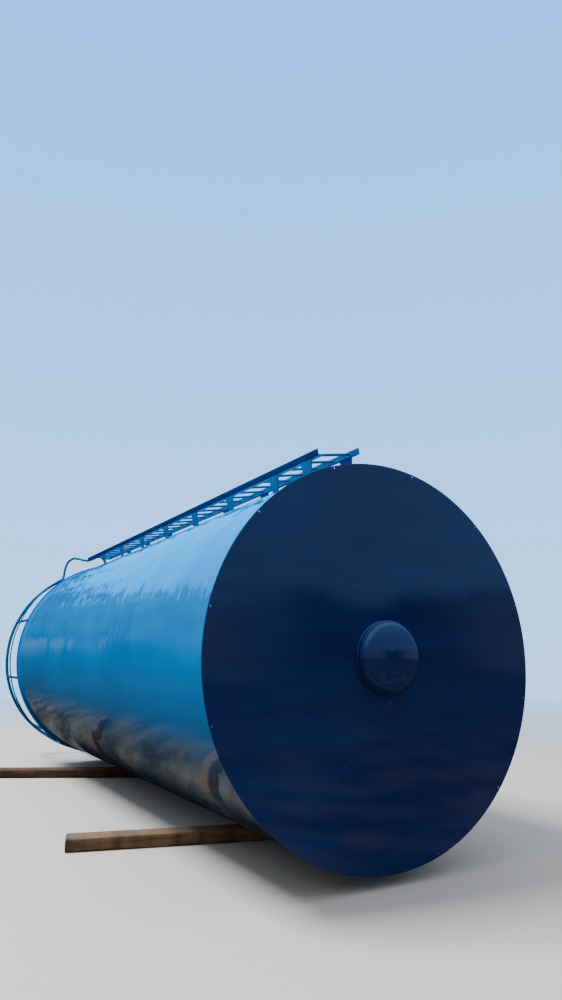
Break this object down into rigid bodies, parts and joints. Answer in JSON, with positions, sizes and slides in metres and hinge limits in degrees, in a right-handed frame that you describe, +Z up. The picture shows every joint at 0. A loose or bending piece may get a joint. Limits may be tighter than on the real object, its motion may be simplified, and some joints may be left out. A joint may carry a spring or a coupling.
{
  "type": "vertical steel storage tank laid on its side on timber bearers",
  "caption": "Closed round steel tank with flat ends, a dished sump, a ladder along its whole length and a guard rail round its roof, laid on its side on timber bearers.",
  "frame": {"origin": "at floor level under the middle of the whole object, the bounding box's bottom centre", "axes": "+Z up; +Y along the tank's axis, from the base plate to the roof; +X to the right for someone who faces the base plate"},
  "size_m": [3.8022, 8.5934, 3.4639],
  "materials": {
    "sky_blue_enamel": "glossy sky-blue enamel, brushed and rolled on",
    "navy_enamel": "glossy navy enamel",
    "rail_blue_enamel": "blue enamel, brushed on",
    "timber": "rough sawn and weathered"
  },
  "bodies": {
    "root": {"base_plate": "navy_enamel", "bearer_near_base": "timber", "bearer_near_roof": "timber", "guard_mid_rail": "rail_blue_enamel", "guard_post_1": "rail_blue_enamel", "guard_post_10": "rail_blue_enamel", "guard_post_2": "rail_blue_enamel", "guard_post_3": "rail_blue_enamel", "guard_post_4": "rail_blue_enamel", "guard_post_5": "rail_blue_enamel", "guard_post_6": "rail_blue_enamel", "guard_post_7": "rail_blue_enamel", "guard_post_8": "rail_blue_enamel", "guard_post_9": "rail_blue_enamel", "guard_top_rail": "rail_blue_enamel", "ladder_bracket_left_1": "rail_blue_enamel", "ladder_bracket_left_2": "rail_blue_enamel", "ladder_bracket_left_3": "rail_blue_enamel", "ladder_bracket_left_4": "rail_blue_enamel", "ladder_bracket_left_5": "rail_blue_enamel", "ladder_bracket_left_6": "rail_blue_enamel", "ladder_bracket_left_7": "rail_blue_enamel", "ladder_bracket_left_8": "rail_blue_enamel", "ladder_bracket_right_1": "rail_blue_enamel", "ladder_bracket_right_2": "rail_blue_enamel", "ladder_bracket_right_3": "rail_blue_enamel", "ladder_bracket_right_4": "rail_blue_enamel", "ladder_bracket_right_5": "rail_blue_enamel", "ladder_bracket_right_6": "rail_blue_enamel", "ladder_bracket_right_7": "rail_blue_enamel", "ladder_bracket_right_8": "rail_blue_enamel", "ladder_handrail_left": "rail_blue_enamel", "ladder_handrail_right": "rail_blue_enamel", "ladder_section_1": "rail_blue_enamel", "ladder_section_2": "rail_blue_enamel", "ladder_section_3": "rail_blue_enamel", "ladder_section_4": "rail_blue_enamel", "roof_plate": "sky_blue_enamel", "shell_course_1": "sky_blue_enamel", "shell_course_2": "sky_blue_enamel", "shell_course_3": "sky_blue_enamel", "shell_course_4": "sky_blue_enamel", "shell_course_5": "sky_blue_enamel", "sump_head": "navy_enamel", "sump_neck": "navy_enamel"}
  },
  "joints": []
}
